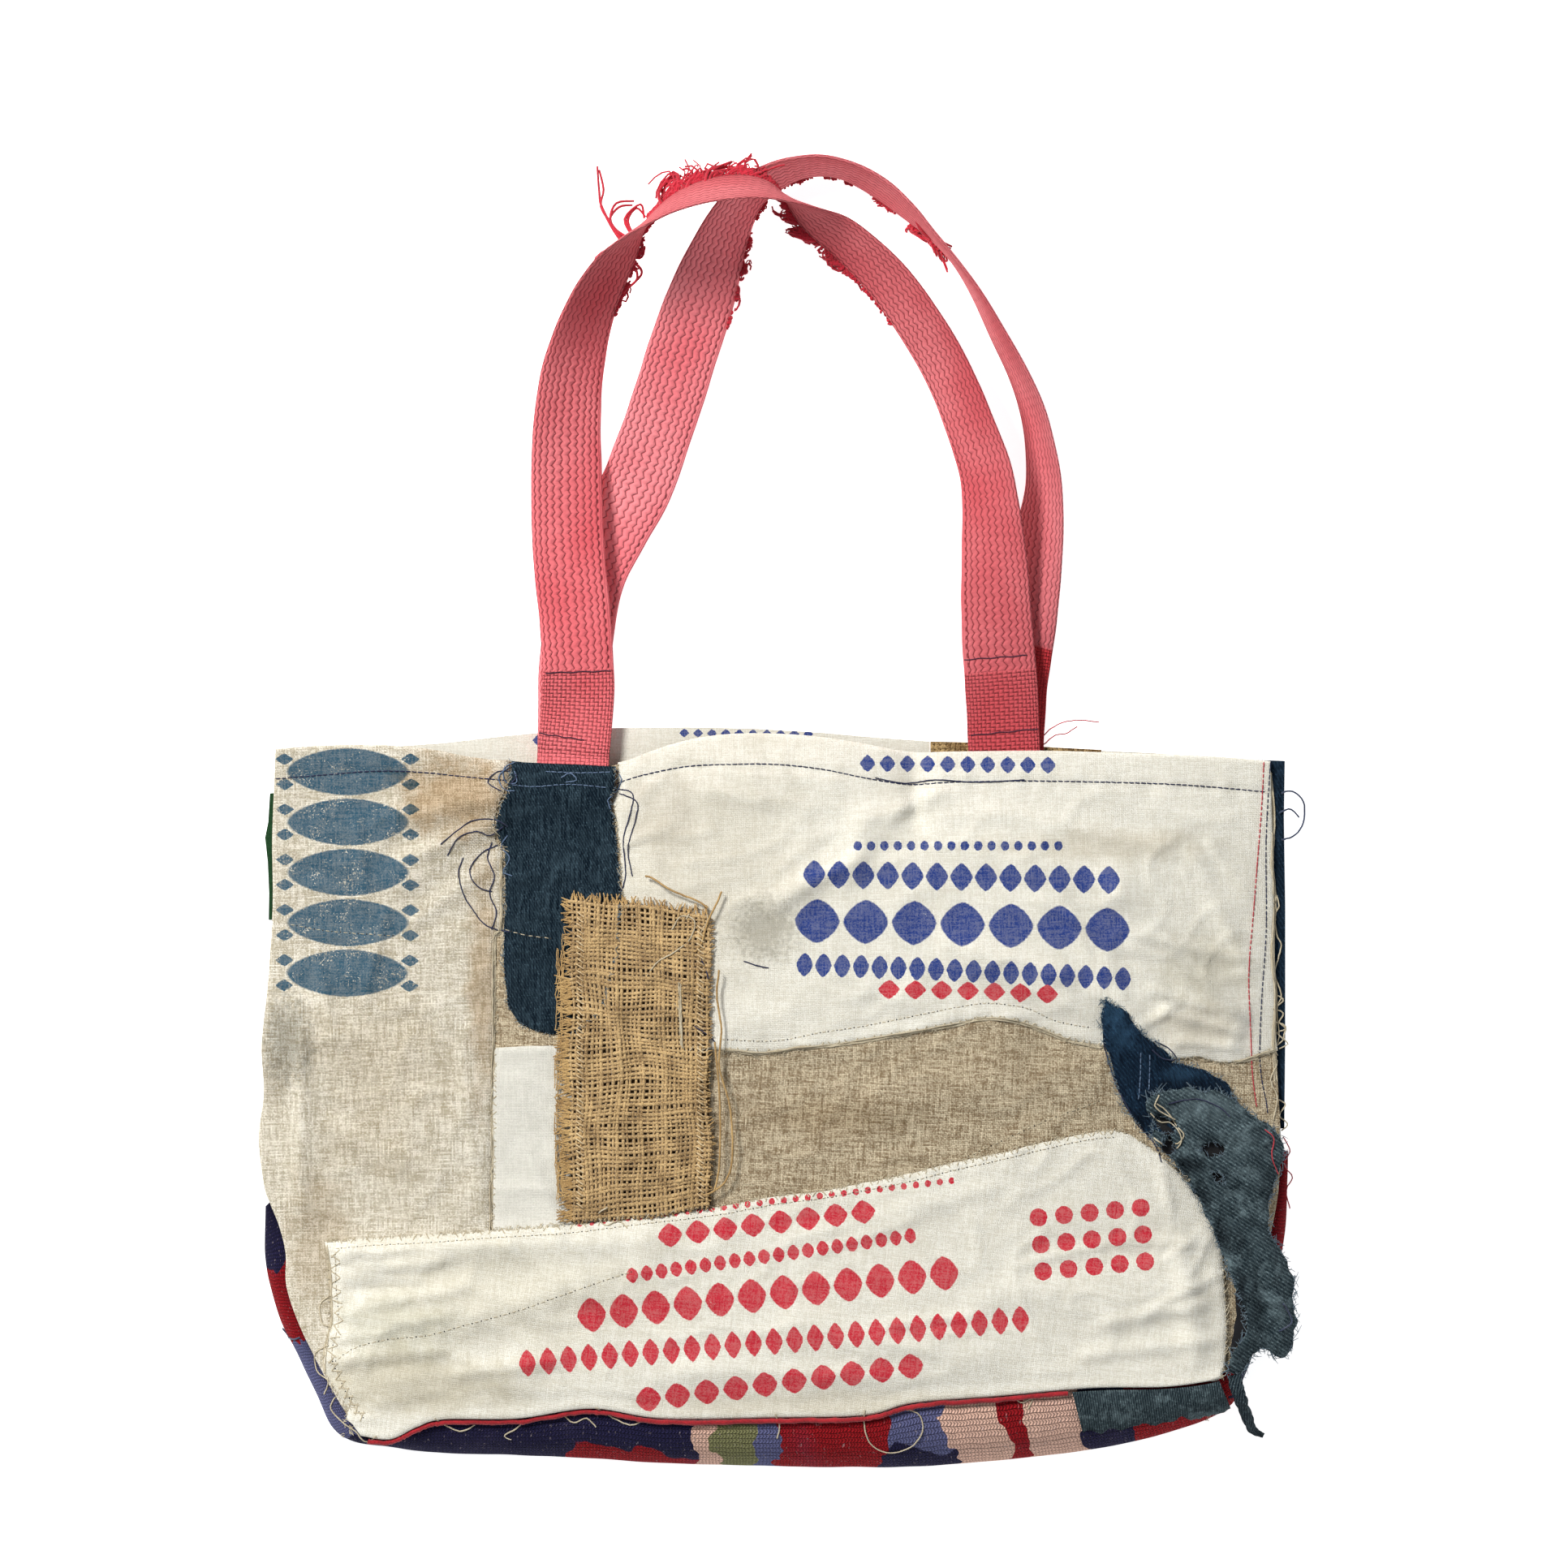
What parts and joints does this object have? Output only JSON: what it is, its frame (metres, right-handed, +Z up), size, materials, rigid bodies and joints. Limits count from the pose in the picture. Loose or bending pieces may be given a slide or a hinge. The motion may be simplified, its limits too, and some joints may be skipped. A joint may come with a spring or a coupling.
{
  "type": "patchwork tote bag",
  "caption": "Soft cloth tote bag of sewn patches, lying on its back with its webbing handles spread above its open mouth",
  "frame": {"origin": "centre of the back panel's outer face, which lies on the surface at z = 0", "axes": "+Z up out of the front wall, +Y from the bag's bottom toward its handles, +X to the right seen from above"},
  "size_m": [0.4666, 0.5892, 0.0683],
  "materials": {
    "front_ground": "plain-woven taupe linen, slubbed",
    "linen_left": "coarse beige linen, soft and stained",
    "denim_tab": "dark indigo denim",
    "flour_upper": "washed off-white sack cotton with faded ink",
    "white_patch": "thin white cotton",
    "burlap_patch": "open golden-brown burlap",
    "burlap_fringe": "loose jute yarns",
    "flour_lower": "washed off-white sack cotton with faded red ink",
    "denim_dark": "dark indigo denim with pale stitching",
    "denim_worn": "worn, torn grey-blue denim",
    "denim_tail": "twisted torn denim",
    "denim_bottom": "frayed worn denim",
    "tapestry_base": "chain-stitched wool in navy, red, blue, pink and olive",
    "back_cotton": "off-white sack cotton",
    "back_denim": "dark denim",
    "back_green": "dark green wool",
    "back_burlap": "brown burlap",
    "strap_front": "coral red cotton webbing",
    "strap_rear": "coral red cotton webbing, faded",
    "strap_front_fray": "frayed red cotton selvage",
    "strap_rear_fray": "frayed red cotton selvage"
  },
  "bodies": {
    "root": {"front_ground": "front_ground", "linen_left": "linen_left", "denim_tab": "denim_tab", "flour_upper": "flour_upper", "white_patch": "white_patch", "burlap_patch": "burlap_patch", "burlap_fringe": "burlap_fringe", "flour_lower": "flour_lower", "denim_dark": "denim_dark", "denim_worn": "denim_worn", "denim_tail": "denim_tail", "denim_bottom": "denim_bottom", "tapestry_base": "tapestry_base", "back_cotton": "back_cotton", "back_denim": "back_denim", "back_green": "back_green", "back_burlap": "back_burlap", "strap_front": "strap_front", "strap_rear": "strap_rear", "strap_front_fray": "strap_front_fray", "strap_rear_fray": "strap_rear_fray"}
  },
  "joints": []
}
